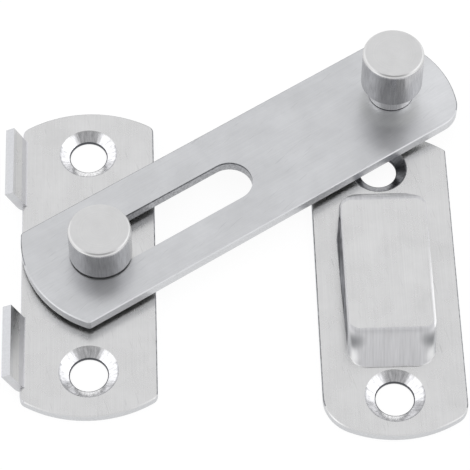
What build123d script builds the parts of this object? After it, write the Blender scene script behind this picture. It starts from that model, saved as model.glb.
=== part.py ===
"""Flip latch: a slotted bar turns and slides on a fixed stud, and its end goes through a keeper.

Millimetres, +Z up off the mounting face. The origin is midway between the two screw holes
of the base plate, on its back face, and +Y runs along the plate.
"""

import math
import os

from build123d import *

# Sheet
SHEET_T = 1.4
CORNER_R = 1.4
END_R = 18.0
EDGE_BREAK = 0.15

# Base plate
BASE_W = 20.0
BASE_L = 54.2
BASE_HOLE_PITCH = 39.0

# Guide lugs, bent up from the plate's left edge
LUG_CLEARANCE = 0.45
LUG_LENGTH = 12.0
LUG_SETBACK = 0.9
LUG_LEAN = 25.0
LUG_BEND_R = 0.5
LUG_RISE = 3.8

# Screw holes
SCREW_D = 5.6
SCREW_HEAD_D = 8.8
SCREW_LAND = 0.3

# Keeper plate
KEEPER_X = 44.3
KEEPER_Y = -4.8
KEEPER_W = 20.95
KEEPER_L = 53.7
KEEPER_HOLE_PITCH = 40.3
KEEPER_END_R = 17.0
KEEPER_CORNER_R = 0.5
KEEPER_LOW_LEFT_R = 6.0
KEEPER_LOW_RIGHT_R = 3.0

# Bridge pressed up out of the keeper
BRIDGE_W = 12.9
BRIDGE_END_CLEARANCE = 1.5
BRIDGE_ROOF_CLEARANCE = 0.5
BRIDGE_SLOPE = 52.0
BRIDGE_BEND_R = 1.6
BRIDGE_FOOT_BEND_R = 0.6
BRIDGE_FOOT_SINK = 0.06
BRIDGE_CROWN_CORNER_R = 1.5
BRIDGE_FOOT_CORNER_R = 3.0
BRIDGE_WALL_T = 1.1
BRIDGE_EDGE_BREAK = 0.2

# Slits that part the bridge's long sides from the keeper
SLIT_L = 22.8
SLIT_WIDEST_Y = 7.0
SLIT_DRAG = 0.6
SLIT_MIDDLE_Y = -2.0
SLIT_MIDDLE_DRAG = 0.4
SLIT_END_DRAG = 0.05
SLIT_LIP = 0.55
SLIT_SMALL_DRAG = 0.2

# Bar
BAR_W = 19.1
BAR_T = 1.8
BAR_L = 73.45
BAR_END_R = 16.0
BAR_CORNER_R = 0.6
BAR_TIP_UPPER_R = 2.6
BAR_TIP_LOWER_R = 4.6
BAR_TAIL = 11.2
BAR_ANGLE = 32.2
SLOT_L = 30.5
SLOT_SLACK = 0.7
KNOB_FROM_END = 9.15

# Pivot stud and spacer
PIVOT_X = 1.95
PIVOT_Y = -0.5
HEAD_D = 9.4
HEAD_H = 5.8
HEAD_RIM_R = 0.6
SHANK_D = 6.5
SHANK_CLEARANCE = 0.25
STUD_TAIL_D = 4.4
SPACER_D = 10.5
SPACER_T = 0.8
SPACER_CLEARANCE = 0.1
HEAD_CLEARANCE = 0.35

# Pull knob
KNOB_D = 9.4
KNOB_H = 10.0
KNOB_RIM_R = 0.6
KNOB_NECK_D = 7.0
KNOB_NECK_H = 1.7
KNOB_TAPER_H = 1.4
KNOB_TAIL_D = 4.0

# Heights of the stack on the stud
BAR_BOTTOM_Z = SHEET_T + SPACER_T
BAR_TOP_Z = BAR_BOTTOM_Z + BAR_T
HEAD_BOTTOM_Z = BAR_TOP_Z + HEAD_CLEARANCE

# The slot takes the shank, the lugs and the bridge take the bar
SLOT_W = SHANK_D + 2 * SHANK_CLEARANCE
SLOT_FAR_END = SLOT_L - SHANK_D / 2 - SLOT_SLACK
KNOB_FROM_PIVOT = BAR_L - BAR_TAIL - KNOB_FROM_END
LUG_START = BAR_W / 2 + LUG_CLEARANCE
LUG_BEND_X = BASE_W / 2 - LUG_SETBACK
BRIDGE_FLAT_L = BAR_W + 2 * BRIDGE_END_CLEARANCE
BRIDGE_RISE = BAR_TOP_Z + BRIDGE_ROOF_CLEARANCE
BRIDGE_TOP_Z = BRIDGE_RISE + SHEET_T


def arc_ended_outline(width, length, end_r, corner_r, low_left_r, low_right_r):
    """Straight sides and shallow arc ends, the corners rounded, the two lower ones apart."""
    sag = end_r - math.sqrt(end_r**2 - (width / 2) ** 2)
    half_w = width / 2
    half_l = length / 2
    shoulder = half_l - sag
    lines = [
        Line((half_w, -shoulder), (half_w, shoulder)),
        ThreePointArc((half_w, shoulder), (0, half_l), (-half_w, shoulder)),
        Line((-half_w, shoulder), (-half_w, -shoulder)),
        ThreePointArc((-half_w, -shoulder), (0, -half_l), (half_w, -shoulder)),
    ]
    face = make_face(Curve() + lines)
    face = fillet(face.vertices().sort_by(Axis.Y)[-2:], corner_r)
    low_left = face.vertices().sort_by(Axis.X)[:2].sort_by(Axis.Y)[0]
    face = fillet(low_left, low_left_r)
    low_right = face.vertices().sort_by(Axis.X)[-2:].sort_by(Axis.Y)[0]
    return fillet(low_right, low_right_r)


def sheet_blank(outline, thickness):
    """Flat piece with a given outline and its top and bottom edges broken."""
    blank = extrude(outline, thickness)
    rims = blank.faces().sort_by(Axis.Z)[0].edges() + blank.faces().sort_by(Axis.Z)[-1].edges()
    return chamfer(rims, EDGE_BREAK)


def screw_hole():
    """Countersunk hole through one sheet, standing on Z = 0."""
    cone_h = SHEET_T - SCREW_LAND
    bore = Pos(0, 0, SHEET_T / 2) * Cylinder(SCREW_D / 2, SHEET_T + 1)
    cone = Pos(0, 0, SCREW_LAND + cone_h / 2) * Cone(SCREW_D / 2, SCREW_HEAD_D / 2, cone_h)
    mouth = Pos(0, 0, SHEET_T + 0.5) * Cylinder(SCREW_HEAD_D / 2, 1)
    return bore + cone + mouth


def screw_holes(pitch):
    """The two countersunk holes of a plate, on its centre line."""
    return [Pos(0, side * pitch / 2, 0) * screw_hole() for side in (-1, 1)]


def lug_section():
    """Section of a bent lug in the XZ plane: bend, then a straight rise that leans outward."""
    bend = math.radians(90 - LUG_LEAN)
    lean = math.radians(LUG_LEAN)
    centre_z = SHEET_T + LUG_BEND_R
    outer_r = SHEET_T + LUG_BEND_R

    def on_bend(radius, angle):
        return (-LUG_BEND_X - radius * math.sin(angle), centre_z - radius * math.cos(angle))

    def up(point):
        return (point[0] - LUG_RISE * math.sin(lean), point[1] + LUG_RISE * math.cos(lean))

    inner_end = on_bend(LUG_BEND_R, bend)
    outer_end = on_bend(outer_r, bend)
    lines = [
        Line((-LUG_BEND_X, SHEET_T), (-LUG_BEND_X, 0)),
        ThreePointArc((-LUG_BEND_X, 0), on_bend(outer_r, bend / 2), outer_end),
        Line(outer_end, up(outer_end)),
        Line(up(outer_end), up(inner_end)),
        Line(up(inner_end), inner_end),
        ThreePointArc(inner_end, on_bend(LUG_BEND_R, bend / 2), (-LUG_BEND_X, SHEET_T)),
    ]
    return make_face(Plane.XZ * (Curve() + lines))


def guide_lug(side):
    """One bent lug on the left edge, above (+1) or below (-1) the gap for the bar."""
    middle = side * (LUG_START + LUG_LENGTH / 2)
    lug = extrude(lug_section(), LUG_LENGTH / 2, both=True)
    return Pos(0, middle, 0) * lug


def base_plate():
    """Left plate with two screw holes, a stud hole and two guide lugs."""
    outline = arc_ended_outline(BASE_W, BASE_L, END_R, CORNER_R, CORNER_R, CORNER_R)
    plate = sheet_blank(outline, SHEET_T)
    strip_w = BASE_W / 2 - LUG_BEND_X
    for side in (-1, 1):
        middle = side * (LUG_START + LUG_LENGTH / 2)
        strip = Box(strip_w * 2, LUG_LENGTH, SHEET_T * 3)
        plate = plate - Pos(-BASE_W / 2, middle, 0) * strip
        plate = plate + guide_lug(side)
    for hole in screw_holes(BASE_HOLE_PITCH):
        plate = plate - hole
    plate = plate - Pos(PIVOT_X, PIVOT_Y, SHEET_T / 2) * Cylinder(STUD_TAIL_D / 2, SHEET_T * 2)
    return plate


def turned(points, rim_r):
    """Solid of revolution about Z from (radius, height) points, its top rim rounded in four cuts."""
    outer_r, top_z = points[-1]
    turns = [math.radians(22.5 * step) for step in range(5)]
    rim = [
        (outer_r - rim_r * (1 - math.cos(turn)), top_z - rim_r * (1 - math.sin(turn)))
        for turn in turns
    ]
    profile = [(0, points[0][1])] + points[:-1] + rim + [(0, top_z)]
    return revolve(make_face(Plane.XZ * Polyline(profile, close=True)), Axis.Z)


def pivot_stud():
    """Headed stud, standing in the plate with its tail flush with the back."""
    top_z = HEAD_BOTTOM_Z + HEAD_H
    points = [
        (STUD_TAIL_D / 2, 0),
        (STUD_TAIL_D / 2, SHEET_T),
        (SHANK_D / 2, SHEET_T),
        (SHANK_D / 2, HEAD_BOTTOM_Z),
        (HEAD_D / 2, HEAD_BOTTOM_Z),
        (HEAD_D / 2, top_z),
    ]
    return Pos(PIVOT_X, PIVOT_Y, 0) * turned(points, HEAD_RIM_R)


def spacer_washer():
    """Flat ring round the shank that holds the bar clear of the plate."""
    ring = Cylinder(SPACER_D / 2, SPACER_T) - Cylinder(SHANK_D / 2 + SPACER_CLEARANCE, SPACER_T * 2)
    return Pos(PIVOT_X, PIVOT_Y, SHEET_T + SPACER_T / 2) * ring


def along_bar(distance, z):
    """Place on the bar's centre line, a distance from the pivot, turned with the bar."""
    return Pos(PIVOT_X, PIVOT_Y, z) * Rot(0, 0, BAR_ANGLE) * Pos(distance, 0, 0)


def latch_bar():
    """Flat bar with arc ends, a long slot for the stud and a hole for the knob's tail."""
    outline = arc_ended_outline(
        BAR_W, BAR_L, BAR_END_R, BAR_CORNER_R, BAR_TIP_LOWER_R, BAR_TIP_UPPER_R
    )
    bar = sheet_blank(Rot(0, 0, 90) * outline, BAR_T)
    bar_middle = BAR_L / 2 - BAR_TAIL
    slot_middle = SLOT_FAR_END - SLOT_L / 2
    slot = extrude(SlotOverall(SLOT_L, SLOT_W), BAR_T * 3, both=True)
    knob_hole = Cylinder(KNOB_TAIL_D / 2, BAR_T * 3)
    bar = bar - Pos(slot_middle - bar_middle, 0, 0) * slot
    bar = bar - Pos(KNOB_FROM_PIVOT - bar_middle, 0, BAR_T / 2) * knob_hole
    return along_bar(bar_middle, BAR_BOTTOM_Z) * bar


def pull_knob():
    """Turned knob: short neck, taper and straight head, its tail flush under the bar."""
    shoulder = KNOB_NECK_H + KNOB_TAPER_H
    points = [
        (KNOB_TAIL_D / 2, -BAR_T),
        (KNOB_TAIL_D / 2, 0),
        (KNOB_NECK_D / 2, 0),
        (KNOB_NECK_D / 2, KNOB_NECK_H),
        (KNOB_D / 2, shoulder),
        (KNOB_D / 2, KNOB_H),
    ]
    return along_bar(KNOB_FROM_PIVOT, BAR_TOP_Z) * turned(points, KNOB_RIM_R)


def slope_length():
    """Length of the straight part between the two bends of the bridge's end."""
    slope = math.radians(BRIDGE_SLOPE)
    bends = (BRIDGE_BEND_R + BRIDGE_FOOT_BEND_R) * (1 - math.cos(slope))
    return (BRIDGE_RISE + BRIDGE_FOOT_SINK - bends) / math.sin(slope)


def end_bends():
    """Centres (distance from the bridge's middle, height) of the crown bend and the foot bend."""
    slope = math.radians(BRIDGE_SLOPE)
    crown_y = BRIDGE_FLAT_L / 2
    foot_y = crown_y + (BRIDGE_BEND_R + BRIDGE_FOOT_BEND_R) * math.sin(slope)
    foot_y += slope_length() * math.cos(slope)
    foot_z = SHEET_T - BRIDGE_FOOT_SINK + BRIDGE_FOOT_BEND_R
    return (crown_y, BRIDGE_TOP_Z - BRIDGE_BEND_R), (foot_y, foot_z)


def crown_point(angle, depth=0.0):
    """Point of the crown bend, a depth under the outside, at an angle from level in degrees."""
    (y, z), _ = end_bends()
    turn = math.radians(angle)
    radius = BRIDGE_BEND_R - depth
    return (y + radius * math.sin(turn), z + radius * math.cos(turn))


def foot_point(angle, depth=0.0):
    """Point of the foot bend, a depth under the outside, at an angle from level in degrees."""
    _, (y, z) = end_bends()
    turn = math.radians(angle)
    radius = BRIDGE_FOOT_BEND_R + depth
    return (y - radius * math.sin(turn), z - radius * math.cos(turn))


def bridge_outside():
    """Outer shape of the pressed bridge: upright sides, S-shaped ends, round plan corners."""
    quarters = [0, 0.25, 0.5, 0.75, 1]
    ends = [crown_point(BRIDGE_SLOPE * q) for q in quarters]
    ends += [foot_point(BRIDGE_SLOPE * (1 - q)) for q in quarters]
    low_z = ends[-1][1]
    sections = []
    for half_l, z in ends:
        share = (BRIDGE_TOP_Z - z) / (BRIDGE_TOP_Z - low_z)
        corner_r = BRIDGE_CROWN_CORNER_R + share * (BRIDGE_FOOT_CORNER_R - BRIDGE_CROWN_CORNER_R)
        sections.append(Pos(0, 0, z) * RectangleRounded(BRIDGE_W, 2 * half_l, corner_r))
    return loft(sections)


def bridge_edge_breaks():
    """Thin prisms that break the two long top edges of the bridge."""
    half_w = BRIDGE_W / 2
    breaks = []
    for side in (-1, 1):
        corner = [
            (side * (half_w - BRIDGE_EDGE_BREAK), BRIDGE_TOP_Z),
            (side * (half_w + BRIDGE_EDGE_BREAK), BRIDGE_TOP_Z + BRIDGE_EDGE_BREAK),
            (side * half_w, BRIDGE_TOP_Z - BRIDGE_EDGE_BREAK),
        ]
        breaks.append(
            extrude(make_face(Plane.XZ * Polyline(corner, close=True)), BRIDGE_FLAT_L / 2, both=True)
        )
    return breaks


def bridge_hollow():
    """Hollow under the bridge: the sheet's inner face, open at the back."""
    low_z = -0.5
    half = [
        Line((0, low_z), (foot_point(0, SHEET_T)[0], low_z)),
        Line((foot_point(0, SHEET_T)[0], low_z), foot_point(0, SHEET_T)),
        ThreePointArc(
            foot_point(0, SHEET_T),
            foot_point(BRIDGE_SLOPE / 2, SHEET_T),
            foot_point(BRIDGE_SLOPE, SHEET_T),
        ),
        Line(foot_point(BRIDGE_SLOPE, SHEET_T), crown_point(BRIDGE_SLOPE, SHEET_T)),
        ThreePointArc(
            crown_point(BRIDGE_SLOPE, SHEET_T),
            crown_point(BRIDGE_SLOPE / 2, SHEET_T),
            crown_point(0, SHEET_T),
        ),
        Line(crown_point(0, SHEET_T), (0, BRIDGE_RISE)),
        Line((0, BRIDGE_RISE), (0, low_z)),
    ]
    one_end = extrude(
        make_face(Plane.YZ * (Curve() + half)), BRIDGE_W / 2 - BRIDGE_WALL_T, both=True
    )
    return one_end + one_end.mirror(Plane.XZ)


def side_windows():
    """What opens the bridge's long sides, up to its roof."""
    roof_half = crown_point(0, SHEET_T)[0]
    outline = [
        (-SLIT_L / 2, -1),
        (SLIT_L / 2, -1),
        (SLIT_L / 2, SHEET_T + BRIDGE_RISE / 4),
        (roof_half, BRIDGE_RISE),
        (-roof_half, BRIDGE_RISE),
        (-SLIT_L / 2, SHEET_T + BRIDGE_RISE / 4),
    ]
    return extrude(make_face(Plane.YZ * Polyline(outline, close=True)), BRIDGE_W, both=True)


def slit_section(y, drag):
    """Section of the hole under the bridge; the punch drags its left edge down, more or less."""
    half_w = BRIDGE_W / 2
    outline = [
        (-half_w - drag, SHEET_T + 1),
        (-half_w - drag, SHEET_T),
        (-half_w + SLIT_LIP, 0),
        (-half_w + SLIT_LIP, -1),
        (half_w, -1),
        (half_w, 0),
        (half_w + SLIT_SMALL_DRAG, SHEET_T),
        (half_w + SLIT_SMALL_DRAG, SHEET_T + 1),
    ]
    return Pos(0, y, 0) * make_face(Plane.XZ * Polyline(outline, close=True))


def slit_hole():
    """Hole in the keeper under the bridge, its left edge dragged down most at one place."""
    stations = [
        (-SLIT_L / 2, SLIT_END_DRAG),
        (SLIT_MIDDLE_Y, SLIT_MIDDLE_DRAG),
        (SLIT_WIDEST_Y, SLIT_DRAG),
        (SLIT_L / 2, SLIT_END_DRAG),
    ]
    return loft([slit_section(y, drag) for y, drag in stations], ruled=True)


def keeper_plate():
    """Right plate with two screw holes and a bridge pressed up between them."""
    outline = arc_ended_outline(
        KEEPER_W, KEEPER_L, KEEPER_END_R, KEEPER_CORNER_R, KEEPER_LOW_LEFT_R, KEEPER_LOW_RIGHT_R
    )
    plate = sheet_blank(outline, SHEET_T)
    hollow = bridge_hollow()
    bridge = bridge_outside() - hollow - side_windows()
    for edge_break in bridge_edge_breaks():
        bridge = bridge - edge_break
    plate = plate - slit_hole() - hollow + bridge
    for hole in screw_holes(KEEPER_HOLE_PITCH):
        plate = plate - hole
    return Pos(KEEPER_X, KEEPER_Y, 0) * plate


PARTS = {
    "base_plate": base_plate,
    "pivot_stud": pivot_stud,
    "spacer_washer": spacer_washer,
    "latch_bar": latch_bar,
    "pull_knob": pull_knob,
    "keeper_plate": keeper_plate,
}

os.makedirs("parts", exist_ok=True)
for name, make in PARTS.items():
    part = make()
    part.label = name
    export_step(part, "parts/" + name + ".step")
    box = part.bounding_box()
    print(name, len(part.solids()), round(part.volume, 1), box.min, box.max)
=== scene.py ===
# %% [markdown]
# # A flip latch in brushed and turned stainless steel
# The latch is two pressed plates, a slotted bar and two turned pieces. Their shapes come from
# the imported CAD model, so this lesson is about what turns them into steel: how each surface was
# made, what that does to light, and a soft studio that bare metal can reflect.

# %% Load the model
import math

import bpy
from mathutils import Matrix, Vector

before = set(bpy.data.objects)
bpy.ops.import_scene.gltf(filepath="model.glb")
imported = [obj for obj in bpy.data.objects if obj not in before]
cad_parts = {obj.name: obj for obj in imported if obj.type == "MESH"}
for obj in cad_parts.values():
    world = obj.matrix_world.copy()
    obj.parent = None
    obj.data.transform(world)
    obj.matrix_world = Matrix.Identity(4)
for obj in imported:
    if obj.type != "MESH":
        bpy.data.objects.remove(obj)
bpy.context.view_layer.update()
MM = 0.001
print("nodes:", ", ".join(sorted(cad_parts)))

# %% [markdown]
# Colours are written as sRGB hex, the way a picture editor shows them. Shaders want linear
# light, so one function does the change for every colour in this file.


# %% Hex to linear
def linear(hex_colour):
    """Turns an sRGB hex colour into the linear RGBA that a shader socket takes."""
    channels = [int(hex_colour[i : i + 2], 16) / 255 for i in (1, 3, 5)]
    light = [c / 12.92 if c <= 0.04045 else ((c + 0.055) / 1.055) ** 2.4 for c in channels]
    return (*light, 1.0)


print("mid grey #808080 is", [round(c, 3) for c in linear("#808080")])

# %% [markdown]
# A material is a small graph of nodes. This helper adds one node, sets its options, and fills
# each input with a number or with a link. A link can start at an output socket, or at a node,
# which then gives its first output.


# %% Add a node
def add(tree, kind, inputs=None, **settings):
    """Adds a node; an input is a value, an output socket, or a node to link from."""
    node = tree.nodes.new(kind)
    for name, value in settings.items():
        setattr(node, name, value)
    for key, value in (inputs or {}).items():
        if isinstance(value, bpy.types.Node):
            value = next(socket for socket in value.outputs if socket.enabled)
        if isinstance(value, bpy.types.NodeSocket):
            tree.links.new(value, node.inputs[key])
        else:
            node.inputs[key].default_value = value
    return node


# %% [markdown]
# One plate shows several finishes: a brushed face, sheared edges, mirror-bright countersinks.
# A finish here is three things: a colour, a roughness, and a relief that becomes bump. Finishes
# are laid over each other like paint through a stencil. The stencil is a mask, 1 where the
# paint goes through and 0 where it doesn't, and several masks together keep only the place
# where all of them are 1.

# %% Lay one finish over another
FINISH_KINDS = {"colour": "RGBA", "roughness": "FLOAT", "relief": "FLOAT"}


def lay_over(tree, below, above, mask, *more_masks):
    """The finish below, covered by the finish above where every mask is 1."""
    for other in more_masks:
        mask = add(tree, "ShaderNodeMath", {0: mask, 1: other}, operation="MULTIPLY")
    return {
        key: add(
            tree,
            "ShaderNodeMix",
            {"Factor": mask, "A": below[key], "B": above[key]},
            data_type=kind,
        )
        for key, kind in FINISH_KINDS.items()
    }


print("a finish has:", ", ".join(FINISH_KINDS))

# %% [markdown]
# Every steel here is the same shader: fully metallic, with the default index of refraction, and
# a weak bump from the finish's relief. Only the finish differs from piece to piece.

# %% From finish to steel
BUMP_STRENGTH = 0.25


def steel_from(name, build):
    """A metal material from a function that returns its finish and the depth of its relief."""
    material = bpy.data.materials.new(name)
    material.use_nodes = True
    tree = material.node_tree
    tree.nodes.clear()
    finish, relief_depth = build(tree)
    bump = add(
        tree,
        "ShaderNodeBump",
        {"Height": finish["relief"], "Strength": BUMP_STRENGTH, "Distance": relief_depth},
    )
    skin = add(
        tree,
        "ShaderNodeBsdfPrincipled",
        {
            "Metallic": 1.0,
            "Base Color": finish["colour"],
            "Roughness": finish["roughness"],
            "Normal": bump,
        },
    )
    add(tree, "ShaderNodeOutputMaterial", {"Surface": skin})
    print("made:", name, "with", len(tree.nodes), "nodes")
    return material


# %% [markdown]
# A colour that is the same everywhere looks like plastic. This helper makes a steel's colour
# follow a pattern: lighter on its high places, darker on its low ones, by a small share. Nearly
# all values of a noise lie between 0.3 and 0.7, so these become the darkest and the lightest.

# %% Tint by a pattern
NOISE_LOW = 0.3
NOISE_HIGH = 0.7


def tinted(tree, colour, pattern, share):
    """A colour, scaled up and down by a noise pattern, by at most a share of itself."""
    tone = add(
        tree,
        "ShaderNodeMapRange",
        {
            "Value": pattern,
            "From Min": NOISE_LOW,
            "From Max": NOISE_HIGH,
            "To Min": 1 - share,
            "To Max": 1 + share,
        },
    )
    start = linear(colour)[:3] if isinstance(colour, str) else colour
    return add(tree, "ShaderNodeVectorMath", {0: start, "Scale": tone}, operation="SCALE")


# %% [markdown]
# Brushed steel is rolled sheet rubbed with an abrasive belt. The belt leaves fine parallel
# lines, here along the piece. They are noise, stretched by a mapping node: one cell of the
# noise is as wide as a brush line and much longer. Real lines are about 0.05 mm wide; these are
# drawn 0.16 mm wide so that they show in a small picture.

# %% Brushed lines
LINE_WIDTH = 0.16 * MM
LINE_LENGTH = 11 * MM


def brushed_lines(tree, place, angle, width=LINE_WIDTH, length=LINE_LENGTH, detail=2.0):
    """Long thin noise along a direction, in degrees from +X."""
    turned = add(
        tree, "ShaderNodeMapping", {"Vector": place, "Rotation": (0, 0, math.radians(-angle))}
    )
    stretched = add(
        tree,
        "ShaderNodeMapping",
        {"Vector": turned, "Scale": (1 / length, 1 / width, 1 / length)},
    )
    return add(
        tree,
        "ShaderNodeTexNoise",
        {"Vector": stretched, "Scale": 1.0, "Detail": detail, "Roughness": 0.6},
    )


print("brush lines per mm:", round(MM / LINE_WIDTH, 1))

# %% [markdown]
# Over the lines lie faint clouds, where the belt pressed unevenly and hands have polished the
# sheet, and a few thin scratches from handling, a little darker than the sheet and turned away
# from the brush lines. A scratch is the crest of a long thin noise: only the few places above a
# threshold count. Real scratches are hair thin; these are as wide as the brush lines, to show.

# %% Clouds and scratches
CLOUD_SIZE = 5 * MM
SCRATCH_WIDTH = 0.16 * MM
SCRATCH_LENGTH = 3 * MM
CREST_STARTS = 0.76
CREST_FULL = 0.82


def clouds(tree, place, size=CLOUD_SIZE):
    """Soft blotches of a given size."""
    return add(
        tree,
        "ShaderNodeTexNoise",
        {"Vector": place, "Scale": 1 / size, "Detail": 6.0, "Roughness": 0.6},
    )


def scratches(tree, place, angle):
    """1 on a few thin scratches about a direction, and 0 elsewhere."""
    crests = brushed_lines(tree, place, angle, SCRATCH_WIDTH, SCRATCH_LENGTH, detail=0.0)
    return add(
        tree,
        "ShaderNodeMapRange",
        {"Value": crests, "From Min": CREST_STARTS, "From Max": CREST_FULL},
    )


print("clouds of", round(CLOUD_SIZE / MM), "mm, scratches of", round(SCRATCH_LENGTH / MM), "mm")

# %% [markdown]
# A brushed face puts these together. The lines and the clouds tint the colour, the clouds also
# make the face shinier here and duller there, and lines and scratches are cut into the relief.

# %% Brushed face
SCRATCH_TURN = 14
SCRATCH_DARKENING = 0.09


def brushed_face(tree, place, colour, angle, lines_share, cloud_share, rough_low, rough_high):
    """The finish of a brushed face: lines, clouds and scratches in colour and relief."""
    lines = brushed_lines(tree, place, angle)
    patches = clouds(tree, place)
    nicks = scratches(tree, place, angle + SCRATCH_TURN)
    mottled = tinted(tree, tinted(tree, colour, lines, lines_share), patches, cloud_share)
    kept = add(
        tree,
        "ShaderNodeMath",
        {0: nicks, 1: -SCRATCH_DARKENING, 2: 1.0},
        operation="MULTIPLY_ADD",
    )
    nicked = add(tree, "ShaderNodeVectorMath", {0: mottled, "Scale": kept}, operation="SCALE")
    rough = add(
        tree,
        "ShaderNodeMapRange",
        {
            "Value": patches,
            "From Min": NOISE_LOW,
            "From Max": NOISE_HIGH,
            "To Min": rough_low,
            "To Max": rough_high,
        },
    )
    cut = add(tree, "ShaderNodeMath", {0: lines, 1: nicks}, operation="SUBTRACT")
    return {"colour": nicked, "roughness": rough, "relief": cut}


print("scratches lie", SCRATCH_TURN, "degrees off the brush lines")

# %% [markdown]
# Masks say where a finish is. One comes from the direction that the surface faces: a sheared
# edge faces sideways, so its normal has hardly any Z. Another is an upright box in space, and
# the third is a round spot that fades out.

# %% Masks
UPRIGHT_STARTS = 0.35
UPRIGHT_FULL = 0.2
SPOT_CORE = 0.25


def surface(tree):
    """The place of a point in metres, and the X, Y and Z of the direction it faces."""
    where = add(tree, "ShaderNodeTexCoord").outputs
    facing = add(tree, "ShaderNodeSeparateXYZ", {"Vector": where["Normal"]}).outputs
    return where["Object"], facing


def faces_sideways(tree, normal_z):
    """1 where the surface is upright, 0 where it lies flat."""
    lying = add(tree, "ShaderNodeMath", {0: normal_z}, operation="ABSOLUTE")
    return add(
        tree,
        "ShaderNodeMapRange",
        {"Value": lying, "From Min": UPRIGHT_STARTS, "From Max": UPRIGHT_FULL},
    )


def inside_box(tree, place, centre, size):
    """1 inside an upright box, whose centre and size are in mm, and 0 outside it."""
    middle = [c * MM for c in centre]
    half = [s * MM / 2 for s in size]
    apart = add(tree, "ShaderNodeVectorMath", {0: place, 1: middle}, operation="SUBTRACT")
    reach = add(tree, "ShaderNodeVectorMath", {0: apart}, operation="ABSOLUTE")
    over = add(tree, "ShaderNodeVectorMath", {0: reach, 1: half}, operation="SUBTRACT")
    xyz = add(tree, "ShaderNodeSeparateXYZ", {"Vector": over}).outputs
    wider = add(tree, "ShaderNodeMath", {0: xyz["X"], 1: xyz["Y"]}, operation="MAXIMUM")
    widest = add(tree, "ShaderNodeMath", {0: wider, 1: xyz["Z"]}, operation="MAXIMUM")
    return add(tree, "ShaderNodeMath", {0: widest, 1: 0.0}, operation="LESS_THAN")


def soft_spot(tree, place, centre, radius):
    """1 about a centre, fading to 0 at a radius, both in mm."""
    middle = [c * MM for c in centre]
    far = add(tree, "ShaderNodeVectorMath", {0: place, 1: middle}, operation="DISTANCE")
    return add(
        tree,
        "ShaderNodeMapRange",
        {
            "Value": far.outputs["Value"],
            "From Min": radius * MM,
            "From Max": radius * MM * SPOT_CORE,
        },
        interpolation_type="SMOOTHSTEP",
    )


print("a face counts as upright from", round(math.degrees(math.acos(UPRIGHT_STARTS))), "degrees")

# %% [markdown]
# The edges of the sheet were sheared, then tumbled: grainy, a little rougher, still bright. The
# grain of such an edge is about 0.1 mm; it is drawn as a noise of 0.3 mm, coarse enough to show.

# %% Sheared edge
GRAIN_SIZE = 0.3 * MM


def sheared_edge(tree, place, colour="#cdced0"):
    """Grainy finish of a cut edge."""
    grain = add(
        tree, "ShaderNodeTexNoise", {"Vector": place, "Scale": 1 / GRAIN_SIZE, "Detail": 2.0}
    )
    return {"colour": tinted(tree, colour, grain, 0.05), "roughness": 0.4, "relief": grain}


print("grain of a cut edge in mm:", round(GRAIN_SIZE / MM, 2))

# %% [markdown]
# Along the edges that face +Y and to the sides, a thin broken dark line is painted on the
# narrow bevel at the top of the edge: a painted dark reflection. The bevel is found by how far
# its normal leans, and by its height.

# %% Painted dark line on the bevels
BEVEL_STARTS = 0.94
BEVEL_FULL = 0.88
DARK_LINE_FACES_Y = -0.2
HEIGHT_SLACK = 0.01


def with_painted_dark_line(tree, place, normal, below, top_z):
    """Lays a painted dark reflection line over a finish, on bevels up to a height in mm."""
    grain = add(
        tree, "ShaderNodeTexNoise", {"Vector": place, "Scale": 0.5 / GRAIN_SIZE, "Detail": 2.0}
    )
    lying = add(tree, "ShaderNodeMath", {0: normal["Z"]}, operation="ABSOLUTE")
    bevel = add(
        tree,
        "ShaderNodeMapRange",
        {"Value": lying, "From Min": BEVEL_STARTS, "From Max": BEVEL_FULL},
    )
    away = add(
        tree, "ShaderNodeMath", {0: normal["Y"], 1: DARK_LINE_FACES_Y}, operation="GREATER_THAN"
    )
    height = add(tree, "ShaderNodeSeparateXYZ", {"Vector": place}).outputs["Z"]
    low = add(
        tree, "ShaderNodeMath", {0: height, 1: (top_z + HEIGHT_SLACK) * MM}, operation="LESS_THAN"
    )
    # Painted dark reflection: a dark grainy colour on the bevels that face away.
    painted_dark_line = {"colour": tinted(tree, "#8d8e91", grain, 0.5), "roughness": 0.45, "relief": grain}
    return lay_over(tree, below, painted_dark_line, bevel, away, low)


print("the burr's grain in mm:", round(2 * GRAIN_SIZE / MM, 2))

# %% [markdown]
# Holes and turned pieces have an axis, and their marks run round it. Two things describe such
# marks: the distance from the axis, and the angle round it. The angle, with the height scaled to
# suit, becomes a vector for a noise texture, and the marks run up or down the side.


# %% Round an axis
def round_axis(tree, across, along, height, height_scale):
    """The distance from an axis, and a vector of the angle round it and the scaled height."""
    flat = add(tree, "ShaderNodeCombineXYZ", {"X": across, "Y": along})
    radius = add(tree, "ShaderNodeVectorMath", {0: flat}, operation="LENGTH").outputs["Value"]
    turn = add(tree, "ShaderNodeMath", {0: along, 1: across}, operation="ARCTAN2")
    rise = add(tree, "ShaderNodeMath", {0: height, 1: height_scale}, operation="MULTIPLY")
    return radius, add(tree, "ShaderNodeCombineXYZ", {"X": turn, "Y": rise})


# %% [markdown]
# A countersink is cut with a turning tool. Its cone is polished by the cut and shines like a
# mirror, with chatter marks that run down it, so it shows the lights beside the latch as white
# and the dim place in front as a dark wedge. At its mouth the polish fades into the brushed
# face. Where the tool broke through, the hole has a thin rough ring; the ring and the wall below
# it are painted dark, as painted shade inside the hole. The distance from the nearer hole's axis
# finds them all. The real chatter is about twice as fine; 70 marks to a turn are what the
# picture can show.

# %% Countersinks
CONE_RADIUS = 4.5 * MM
CONE_FADE = 0.45 * MM
RING_RADIUS = 2.93 * MM
CONE_LEAN = 0.975
CHATTER_MARKS = 70
CHATTER_RISE = 0.12 / MM


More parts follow.
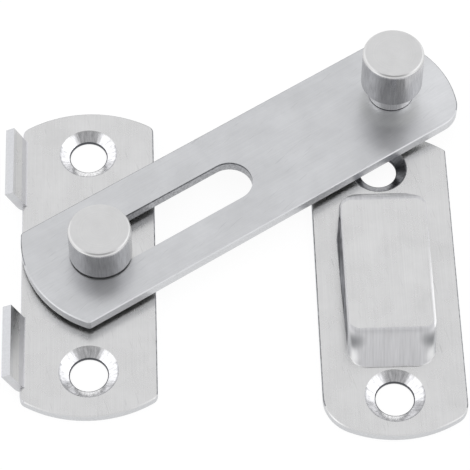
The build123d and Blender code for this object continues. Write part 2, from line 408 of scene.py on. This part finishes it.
def countersinks(tree, place, normal_z, below, cone_colour, hole_x, hole_y, hole_pitch):
    """Lays polished cones, and hole walls in painted shade, over a finish, at two holes along Y.
    """
    moved = add(tree, "ShaderNodeMapping", {"Vector": place, "Location": (-hole_x, -hole_y, 0)})
    xyz = add(tree, "ShaderNodeSeparateXYZ", {"Vector": moved}).outputs
    either = add(tree, "ShaderNodeMath", {0: xyz["Y"]}, operation="ABSOLUTE")
    along = add(tree, "ShaderNodeMath", {0: either, 1: hole_pitch / 2}, operation="SUBTRACT")
    radius, spokes = round_axis(tree, xyz["X"], along, xyz["Z"], CHATTER_RISE)
    chatter = add(
        tree,
        "ShaderNodeTexNoise",
        {"Vector": spokes, "Scale": CHATTER_MARKS / math.tau, "Detail": 3.0},
    )
    polished = {
        "colour": tinted(tree, cone_colour, chatter, 0.25),
        "roughness": 0.16,
        "relief": chatter,
    }
    near = add(
        tree,
        "ShaderNodeMapRange",
        {"Value": radius, "From Min": CONE_RADIUS, "From Max": CONE_RADIUS - CONE_FADE},
    )
    sloped = add(tree, "ShaderNodeMath", {0: normal_z, 1: CONE_LEAN}, operation="LESS_THAN")
    coned = lay_over(tree, below, polished, near, sloped)
    # Painted shade inside the hole: the rough ring and the wall are coloured dark.
    rough_ring_and_painted_shade = {"colour": linear("#5c5d61"), "roughness": 0.5, "relief": chatter}
    wall = add(tree, "ShaderNodeMath", {0: radius, 1: RING_RADIUS}, operation="LESS_THAN")
    return lay_over(tree, coned, rough_ring_and_painted_shade, wall)


print("chatter marks to a turn:", CHATTER_MARKS)

# %% [markdown]
# The base plate is stainless steel sheet, brushed along its length, and the keeper has the same
# face. The belt went over the flat sheet, before the lugs were bent: their free rims are grainy
# like every cut edge, and the insides of the two bends stayed a little duller.

# %% Base plate steel
PLATE_FACE = {
    "colour": "#d8d8d7",
    "angle": 90,
    "lines_share": 0.032,
    "cloud_share": 0.05,
    "rough_low": 0.25,
    "rough_high": 0.31,
}
CONE_COLOUR = "#ececed"
RELIEF_DEPTH = 0.022 * MM
PLATE_TOP = 1.4
BENT = 0.985
BASE_HOLES = (0.0, 0.0, 39.0 * MM)
LUG_RIMS = ((-12.3, 0, 5.1), (3.2, 50, 1.5))
LUG_BENDS = ((-10.6, 0, 2.0), (2.6, 50, 1.5))


def base_finish(tree):
    """Finish of the base plate."""
    place, normal = surface(tree)
    face = brushed_face(tree, place, **PLATE_FACE)
    with_line = with_painted_dark_line(tree, place, normal, face, PLATE_TOP)
    grainy = sheared_edge(tree, place)
    with_edges = lay_over(tree, with_line, grainy, faces_sideways(tree, normal["Z"]))
    rims = inside_box(tree, place, *LUG_RIMS)
    with_rims = lay_over(tree, with_edges, grainy, rims, normal["Z"])
    duller = {**grainy, "colour": linear("#d4d4d6"), "roughness": 0.55}
    curved = add(tree, "ShaderNodeMath", {0: normal["Z"], 1: BENT}, operation="LESS_THAN")
    with_bends = lay_over(
        tree, with_rims, duller, inside_box(tree, place, *LUG_BENDS), curved
    )
    finish = countersinks(tree, place, normal["Z"], with_bends, CONE_COLOUR, *BASE_HOLES)
    return finish, RELIEF_DEPTH


base_steel = steel_from("brushed stainless steel, base plate", base_finish)

# %% [markdown]
# The keeper's bridge was pressed up out of the sheet. Its ends were stretched over the tool, so
# they are rougher than the roof, with streaks that run up the slope. The top corners of the
# slope get painted shade: dark spots that stand in for the shading of their curved shape. The
# foot corners get painted highlights, and so does the lower part of the roof's right edge. Both
# ends are alike, so the corners are given once, as distances from the bridge's centre. The real
# streaks are about 0.1 mm wide and are drawn 0.3 mm wide.

# %% The bridge's ends
STREAK_WIDTH = 0.3 * MM
STREAK_LENGTH = 5 * MM
BRIDGE_CENTRE = Vector((44.3, -4.8, 0)) * MM
PRESSED_ENDS = ((44.3, -4.8, 4.2), (13.4, 33, 5.4))
# Spots of painted shade and painted highlight on the slopes, and the roof edge's painted
# highlight.
PAINTED_SHADE_CORNER = ((5.2, 12.0, 4.0), 1.9)
PAINTED_HIGHLIGHT_CORNER = ((5.9, 13.4, 1.9), 1.9)
ROOF_EDGE = ((50.75, -9.3, 5.8), (0.7, 14, 0.5))
ROOF_CORNER = ((50.7, -15.0, 5.8), 15.0)


def bridge_ends(tree, place, normal, below, streaks):
    """Lays the stretched ends of the bridge, with their painted shade and highlights, over a
    finish.
    """
    stretched = {
        "colour": tinted(tree, "#d4d4d5", streaks, 0.08),
        "roughness": 0.58,
        "relief": streaks,
    }
    # Painted shade on the slope's top corners, and painted highlights on its foot corners.
    painted_corner_shade = {**stretched, "colour": linear("#87888a")}
    wear_and_painted_highlight = {**stretched, "colour": linear("#f4f4f4"), "roughness": 0.4}
    from_centre = add(
        tree, "ShaderNodeVectorMath", {0: place, 1: BRIDGE_CENTRE}, operation="SUBTRACT"
    )
    mirrored = add(tree, "ShaderNodeVectorMath", {0: from_centre}, operation="ABSOLUTE")
    darkened = lay_over(tree, stretched, painted_corner_shade, soft_spot(tree, mirrored, *PAINTED_SHADE_CORNER))
    slope = lay_over(tree, darkened, wear_and_painted_highlight, soft_spot(tree, mirrored, *PAINTED_HIGHLIGHT_CORNER))
    bent = add(tree, "ShaderNodeMath", {0: normal["Z"], 1: BENT}, operation="LESS_THAN")
    with_slopes = lay_over(tree, below, slope, inside_box(tree, place, *PRESSED_ENDS), bent)
    # Painted highlight along the lower part of the roof's right edge.
    roof_edge = inside_box(tree, place, *ROOF_EDGE)
    return lay_over(
        tree, with_slopes, wear_and_painted_highlight, roof_edge, soft_spot(tree, place, *ROOF_CORNER)
    )


print("streaks in mm:", round(STREAK_WIDTH / MM, 2), "by", round(STREAK_LENGTH / MM, 2))

# %% [markdown]
# Left of the bridge the punch tore along the slit. The wall of the slit has scores that run
# along it, drawn 0.14 mm wide for real ones of half that, and is painted dark: painted shade
# under the bridge. Under the roof the steel is dull, as it came from the mill, and is painted
# darker too, as painted shade under the roof.

# %% The slit and the underside
SCORE_WIDTH = 0.14 * MM
SCORE_LENGTH = 4 * MM
SCORE_ANGLE = 86
SLIT_WALL = ((37.8, -4.8, 0.68), (1.9, 23, 1.5))
UNDER_ROOF = ((44.3, -4.8, 2.1), (13.6, 33, 4.9))
FACES_RIGHT = 0.3
FACES_DOWN = -0.2


def slit_and_underside(tree, place, normal, below, streaks):
    """Lays the torn wall of the slit and the dull inside of the bridge, both with painted shade,
    over a finish.
    """
    scores = brushed_lines(tree, place, SCORE_ANGLE, SCORE_WIDTH, SCORE_LENGTH)
    # Painted shade: the slit's wall is coloured dark where the bridge shades it.
    scored_painted_shade = {
        "colour": tinted(tree, "#75767a", scores, 0.85),
        "roughness": 0.45,
        "relief": scores,
    }
    right = add(tree, "ShaderNodeMath", {0: normal["X"], 1: FACES_RIGHT}, operation="GREATER_THAN")
    with_slit = lay_over(tree, below, scored_painted_shade, inside_box(tree, place, *SLIT_WALL), right)
    # Painted shade under the roof, on a dull mill finish.
    dull_with_painted_shade = {"colour": tinted(tree, "#a3a4a6", streaks, 0.1), "roughness": 0.5, "relief": streaks}
    down = add(tree, "ShaderNodeMath", {0: normal["Z"], 1: FACES_DOWN}, operation="LESS_THAN")
    return lay_over(tree, with_slit, dull_with_painted_shade, inside_box(tree, place, *UNDER_ROOF), down)


print("scores in mm:", round(SCORE_WIDTH / MM, 2), "by", round(SCORE_LENGTH / MM, 2))

# %% [markdown]
# The keeper is the same brushed sheet as the base plate, with the bridge's finishes on top. The
# cone of its upper hole is given a darker colour than the other three.

# %% Keeper steel
KEEPER_HOLES = (44.3 * MM, -4.8 * MM, 40.3 * MM)
UPPER_HOLE = ((44.3, 15.35, 0.7), (9.2, 9.2, 2.0))


def keeper_finish(tree):
    """Finish of the keeper."""
    place, normal = surface(tree)
    face = brushed_face(tree, place, **PLATE_FACE)
    with_line = with_painted_dark_line(tree, place, normal, face, PLATE_TOP)
    streaks = brushed_lines(tree, place, PLATE_FACE["angle"], STREAK_WIDTH, STREAK_LENGTH)
    with_ends = bridge_ends(tree, place, normal, with_line, streaks)
    edge = faces_sideways(tree, normal["Z"])
    with_edges = lay_over(tree, with_ends, sheared_edge(tree, place), edge)
    with_slit = slit_and_underside(tree, place, normal, with_edges, streaks)
    upper = inside_box(tree, place, *UPPER_HOLE)
    cone_colour = add(
        tree,
        "ShaderNodeMix",
        {"Factor": upper, "A": linear(CONE_COLOUR), "B": linear("#8e8f93")},
        data_type="RGBA",
    )
    finish = countersinks(tree, place, normal["Z"], with_slit, cone_colour, *KEEPER_HOLES)
    return finish, RELIEF_DEPTH


keeper_steel = steel_from("brushed stainless steel, keeper", keeper_finish)

# %% [markdown]
# The bar is the same sheet in a heavier gauge, brushed along its own length. It looks a little
# bluer than the plates, and the knob's dark side shows in it as a soft smear. Its far end,
# beyond the knob, gets a painted sheen: its colour is a little brighter there. Its slot was
# punched out, which scored its wall; the wall is painted darker as painted shade inside the
# slot, with a darker line at its top, partly the punch's burr and partly painted shade. The slot
# is found in the bar's own directions: moved to the stud and turned.

# %% Bar steel
BAR_ANGLE = 32.2
PIVOT = Vector((1.95, -0.5)) * MM
BAR_TOP = 4.0
SLOT = ((11.5, 0, 3.1), (36, 8.2, 2.4))
# The line at the top of the slot's wall: partly burr, partly painted shade.
SLOT_TOP_BURR_AND_SHADE = ((11.5, 0, 3.85), (36, 8.2, 0.5))
WALL_LEAN = 0.95
# A spot of painted sheen on the far end.
PAINTED_SHEEN_SPOT = ((54.5, 28.5, 4.0), 12.0)
PAINTED_SHEEN = 0.16


def bar_finish(tree):
    """Finish of the bar."""
    place, normal = surface(tree)
    face = brushed_face(tree, place, "#cecfd0", BAR_ANGLE, 0.03, 0.06, 0.28, 0.34)
    # Painted sheen: the far end's colour is raised a little round the spot.
    painted_sheen = add(
        tree,
        "ShaderNodeMath",
        {0: soft_spot(tree, place, *PAINTED_SHEEN_SPOT), 1: PAINTED_SHEEN, 2: 1.0},
        operation="MULTIPLY_ADD",
    )
    face["colour"] = add(
        tree, "ShaderNodeVectorMath", {0: face["colour"], "Scale": painted_sheen}, operation="SCALE"
    )
    with_line = with_painted_dark_line(tree, place, normal, face, BAR_TOP)
    edge = faces_sideways(tree, normal["Z"])
    finish = lay_over(tree, with_line, sheared_edge(tree, place, "#d0d1d3"), edge)

    moved = add(tree, "ShaderNodeMapping", {"Vector": place, "Location": (*-PIVOT, 0)})
    along_bar = add(
        tree, "ShaderNodeMapping", {"Vector": moved, "Rotation": (0, 0, math.radians(-BAR_ANGLE))}
    )
    scores = add(
        tree, "ShaderNodeTexNoise", {"Vector": along_bar, "Scale": 1 / GRAIN_SIZE, "Detail": 2.0}
    )
    tilted = add(tree, "ShaderNodeMath", {0: normal["Z"], 1: WALL_LEAN}, operation="LESS_THAN")
    # Painted shade inside the slot: its wall and the line at its top are coloured darker.
    for box, colour, share in ((SLOT, "#a4a5a8", 0.25), (SLOT_TOP_BURR_AND_SHADE, "#636468", 0.5)):
        wall = inside_box(tree, along_bar, *box)
        scored_painted_shade = tinted(tree, colour, scores, share)
        punched_and_shaded = {"colour": scored_painted_shade, "roughness": 0.4, "relief": scores}
        finish = lay_over(tree, finish, punched_and_shaded, wall, tilted)
    return finish, RELIEF_DEPTH


bar_metal = steel_from("brushed stainless steel, bar", bar_finish)

# %% [markdown]
# Stud and knob are turned on a lathe. The tool leaves rings on the flat top; they depend only
# on the distance from the axis. The sides were rubbed by hands and by the jaws that held them,
# which left fine upright marks, and they are coloured darker than the top. A mask by the
# normal picks one or the other. Real rings and marks are about 0.1 mm apart; the rings are
# drawn 0.2 mm apart, and 120 marks to a turn are about 0.25 mm apart, so that both show.

# %% Lathe marks
RING_WIDTH = 0.2 * MM
JAW_MARKS = 120
JAW_RISE = 0.02 / MM
HAND_CLOUDS = 2.2 * MM


def lathe_top(tree, radius, patches):
    """Finish of a turned flat top, with rings."""
    rings = add(
        tree,
        "ShaderNodeTexNoise",
        {"W": radius, "Scale": 1 / RING_WIDTH, "Detail": 2.0},
        noise_dimensions="1D",
    )
    ringed = tinted(tree, "#d6d6d5", rings, 0.014)
    return {"colour": tinted(tree, ringed, patches, 0.035), "roughness": 0.32, "relief": rings}


def rubbed_side(tree, marks, patches):
    """Finish of a turned side, with upright marks."""
    marked = tinted(tree, "#bdbdbf", marks, 0.15)
    return {"colour": tinted(tree, marked, patches, 0.06), "roughness": 0.25, "relief": marks}


print("lathe rings per mm:", round(MM / RING_WIDTH, 1), "and upright marks:", JAW_MARKS)

# %% [markdown]
# The knob's neck gets a painted highlight, a brighter colour, between two thin dark lines of
# painted shade: one in the corner under the taper, and one where the neck meets the bar. The
# stud has the same line of painted shade where its head sits on the bar, but no neck, so its
# neck ends at 0.

# %% Turned steel
FOOT_Z = 4.14 * MM
KNOB_NECK_Z = 5.5 * MM
STUD_NECK_Z = 0.0
SHADE_LINE_WIDTH = 0.14 * MM
TURNED_DEPTH = 0.02 * MM


def turned_finish(axis_x, axis_y, neck_z):
    """A finish for lathe-turned steel round an upright axis; its neck ends at a height."""

    def build(tree):
        place, normal = surface(tree)
        moved = add(
            tree, "ShaderNodeMapping", {"Vector": place, "Location": (-axis_x, -axis_y, 0)}
        )
        xyz = add(tree, "ShaderNodeSeparateXYZ", {"Vector": moved}).outputs
        radius, round_side = round_axis(tree, xyz["X"], xyz["Y"], xyz["Z"], JAW_RISE)
        patches = clouds(tree, place, HAND_CLOUDS)
        marks = add(
            tree,
            "ShaderNodeTexNoise",
            {"Vector": round_side, "Scale": JAW_MARKS / math.tau, "Detail": 2.0},
        )
        wear_and_painted_highlight = rubbed_side(tree, marks, patches)
        # Painted shade: dark lines in the corner above the neck and under the foot.
        painted_shade_line = {"colour": tinted(tree, "#4a4a4e", marks, 0.5), "roughness": 0.6, "relief": marks}
        # Painted highlight: the neck is coloured brighter than the sides.
        painted_neck_highlight = {**wear_and_painted_highlight, "colour": tinted(tree, "#dfdfe0", marks, 0.12)}
        side = faces_sideways(tree, normal["Z"])
        dressed = lay_over(tree, lathe_top(tree, radius, patches), wear_and_painted_highlight, side)
        for limit, finish in ((neck_z + SHADE_LINE_WIDTH, painted_shade_line), (neck_z, painted_neck_highlight), (FOOT_Z, painted_shade_line)):
            under = add(tree, "ShaderNodeMath", {0: xyz["Z"], 1: limit}, operation="LESS_THAN")
            dressed = lay_over(tree, dressed, finish, under)
        return dressed, TURNED_DEPTH

    return build


KNOB_DISTANCE = 53.1 * MM
bar_direction = Vector((math.cos(math.radians(BAR_ANGLE)), math.sin(math.radians(BAR_ANGLE))))
knob_axis = PIVOT + bar_direction * KNOB_DISTANCE
print("knob axis in mm:", [round(v / MM, 2) for v in knob_axis])
stud_steel = steel_from("turned stainless steel, stud", turned_finish(*PIVOT, STUD_NECK_Z))
knob_steel = steel_from("turned stainless steel, knob", turned_finish(*knob_axis, KNOB_NECK_Z))

# %% [markdown]
# Each piece now gets its steel in its material slot; its mesh stays as the CAD model has it.
# The washer under the bar is hardly seen, and wears the same sheet steel as the base plate.

# %% Dress the pieces
finishes = {
    "base_plate": base_steel,
    "keeper_plate": keeper_steel,
    "spacer_washer": base_steel,
    "latch_bar": bar_metal,
    "pivot_stud": stud_steel,
    "pull_knob": knob_steel,
}
for node_name, steel in finishes.items():
    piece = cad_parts[node_name]
    piece.data.materials.clear()
    piece.data.materials.append(steel)
    print(node_name, "wears", steel.name)

# %% [markdown]
# Bare metal shows what surrounds it, so the room matters more than the lamps. A white room
# gives the flat faces their even grey. On the left and on the right it has a bright ring, which
# whitens rims, bevels and the sides of each countersink. The middle of each ring is no brighter
# than the room, so that flat faces stay grey in a view straight from the side. The level is
# read from how far a direction points left or right, from 0 to 1.

# %% The room's bright sides
ROOM_LEVEL = 0.97
RING_LEVEL = 1.27
RING_STARTS, RING_FULL = 0.52, 0.66
MIDDLE_STARTS, MIDDLE_FULL = 0.9, 0.97

world = bpy.data.worlds.new("white studio")
bpy.context.scene.world = world
world.use_nodes = True
room = world.node_tree
room.nodes.clear()
towards = add(room, "ShaderNodeTexCoord").outputs["Generated"]
direction = add(room, "ShaderNodeSeparateXYZ", {"Vector": towards}).outputs
sideways = add(room, "ShaderNodeMath", {0: direction["X"]}, operation="ABSOLUTE")
ring = add(
    room,
    "ShaderNodeMapRange",
    {
        "Value": sideways,
        "From Min": MIDDLE_STARTS,
        "From Max": MIDDLE_FULL,
        "To Min": RING_LEVEL,
        "To Max": ROOM_LEVEL,
    },
    interpolation_type="SMOOTHSTEP",
)
walls = add(
    room,
    "ShaderNodeMapRange",
    {
        "Value": sideways,
        "From Min": RING_STARTS,
        "From Max": RING_FULL,
        "To Min": ROOM_LEVEL,
        "To Max": ring,
    },
    interpolation_type="SMOOTHSTEP",
)
print("the room's level is", ROOM_LEVEL, "and its rings'", RING_LEVEL)

# %% [markdown]
# One dim patch of the room, about where the picture is taken from and above, gives the knobs
# their dark middle and each countersink its dark wedge. It is measured by the angle from that
# direction, in degrees. Lower down in front the room is bright again, which lights the front
# edges. The patch stays where it is in the room when another view is taken.

# %% The room's dim patch
CAMERA_TURN = 1.8
CAMERA_HEIGHT = 56.0
PATCH_LEVEL = 0.42
PATCH_EDGE, PATCH_CORE = 38, 24
HIGH_STARTS, HIGH_FULL = 0.6, 0.7

heading = math.radians(CAMERA_TURN)
rise = math.radians(CAMERA_HEIGHT)
view_direction = Vector(
    (math.sin(heading) * math.cos(rise), math.cos(heading) * math.cos(rise), -math.sin(rise))
)
facing = add(
    room, "ShaderNodeVectorMath", {0: towards, 1: -view_direction}, operation="DOT_PRODUCT"
)
patch = add(
    room,
    "ShaderNodeMapRange",
    {
        "Value": facing.outputs["Value"],
        "From Min": math.cos(math.radians(PATCH_EDGE)),
        "From Max": math.cos(math.radians(PATCH_CORE)),
        "To Min": 1.0,
        "To Max": PATCH_LEVEL,
    },
    interpolation_type="SMOOTHSTEP",
)
dimming = add(
    room,
    "ShaderNodeMapRange",
    {
        "Value": direction["Z"],
        "From Min": HIGH_STARTS,
        "From Max": HIGH_FULL,
        "To Min": 1.0,
        "To Max": patch,
    },
    interpolation_type="SMOOTHSTEP",
)
print("the camera looks along", [round(v, 3) for v in view_direction])

# %% [markdown]
# The two levels multiply to the room's light. The camera itself sees a plain white behind the
# latch, picked by the light path, so the background doesn't depend on the light on the steel.

# %% The room's light
level = add(room, "ShaderNodeMath", {0: walls, 1: dimming}, operation="MULTIPLY")
room_light = add(
    room, "ShaderNodeBackground", {"Color": linear("#fdfdff"), "Strength": level}
)
backdrop = add(room, "ShaderNodeBackground", {"Color": (1, 1, 1, 1), "Strength": 1.0})
path = add(room, "ShaderNodeLightPath").outputs
seen = add(
    room, "ShaderNodeMixShader", {"Fac": path["Is Camera Ray"], 1: room_light, 2: backdrop}
)
add(room, "ShaderNodeOutputWorld", {"Surface": seen})
print("made:", world.name, "with", len(room.nodes), "nodes")

# %% [markdown]
# The floor is white card. Most of what the camera sees of it is a plain white that does not
# depend on light, so that it matches the backdrop; the rest is ordinary matt card, which keeps
# a faint shadow under the latch. It lies a hair below the plates, so that they don't share a
# surface.

# %% The floor
FLOOR_SIDE = 3.0
FLOOR_DROP = 0.02 * MM
WHITE_SHARE = 0.85
WHITE_LEVEL = 1.07
half = FLOOR_SIDE / 2
floor_mesh = bpy.data.meshes.new("floor card")
floor_mesh.from_pydata(
    [(-half, -half, 0), (half, -half, 0), (half, half, 0), (-half, half, 0)], [], [(0, 1, 2, 3)]
)
floor = bpy.data.objects.new("floor", floor_mesh)
floor.location.z = -FLOOR_DROP
bpy.context.collection.objects.link(floor)

card = bpy.data.materials.new("matt white card")
card.use_nodes = True
paper = card.node_tree
paper.nodes.clear()
matt = add(paper, "ShaderNodeBsdfDiffuse", {"Color": linear("#e6e6e6")})
white = add(paper, "ShaderNodeEmission", {"Color": (1, 1, 1, 1), "Strength": WHITE_LEVEL})
rays = add(paper, "ShaderNodeLightPath").outputs
looked_at = rays["Is Camera Ray"]
for ray in ("Is Glossy Ray", "Is Transmission Ray"):
    looked_at = add(
        paper, "ShaderNodeMath", {0: looked_at, 1: rays[ray]}, operation="MAXIMUM"
    )
share = add(paper, "ShaderNodeMath", {0: looked_at, 1: WHITE_SHARE}, operation="MULTIPLY")
mixed = add(paper, "ShaderNodeMixShader", {"Fac": share, 1: matt, 2: white})
add(paper, "ShaderNodeOutputMaterial", {"Surface": mixed})
floor_mesh.materials.append(card)
print("floor side in m:", FLOOR_SIDE)

# %% [markdown]
# Two weak soft boxes add direction to the even room. Both light the rounded rims, one from low
# on the left and one from higher on the right.

# %% Soft boxes
aim = Vector((22, 4, 0)) * MM


def soft_box(name, place, side, watts):
    """A square area lamp that faces the middle of the latch."""
    lamp_data = bpy.data.lights.new(name, "AREA")
    lamp_data.size = side
    lamp_data.energy = watts
    lamp = bpy.data.objects.new(name, lamp_data)
    lamp.location = place
    lamp.rotation_mode = "QUATERNION"
    lamp.rotation_quaternion = (aim - lamp.location).to_track_quat("-Z", "Y")
    bpy.context.collection.objects.link(lamp)
    print(name, "at", place)


soft_box("left soft box", Vector((-0.5, -0.18, 0.24)), 0.3, 0.08)
soft_box("right soft box", Vector((0.5, 0.05, 0.42)), 0.26, 0.07)

# %% [markdown]
# The picture was taken with a long lens from about 56 degrees above the plates. The lens
# length comes from how much the far end of the keeper narrows, and the distance from how large
# the 20 mm plate appears. The Standard view shows a colour as it is written.

# %% The camera
CAMERA_DISTANCE = 407.8 * MM
LENS = 206.8
look_at = Vector((22.06, 4.68, 0)) * MM
camera_data = bpy.data.cameras.new("long lens")
camera_data.lens = LENS
camera_data.sensor_width = 36.0
camera_data.clip_start = 0.01
camera_data.clip_end = 10.0
camera = bpy.data.objects.new("camera", camera_data)
camera.location = look_at - view_direction * CAMERA_DISTANCE
camera.rotation_mode = "QUATERNION"
camera.rotation_quaternion = view_direction.to_track_quat("-Z", "Y")
bpy.context.collection.objects.link(camera)
bpy.context.scene.camera = camera
bpy.context.scene.view_settings.view_transform = "Standard"
print("camera at", [round(v, 3) for v in camera.location])
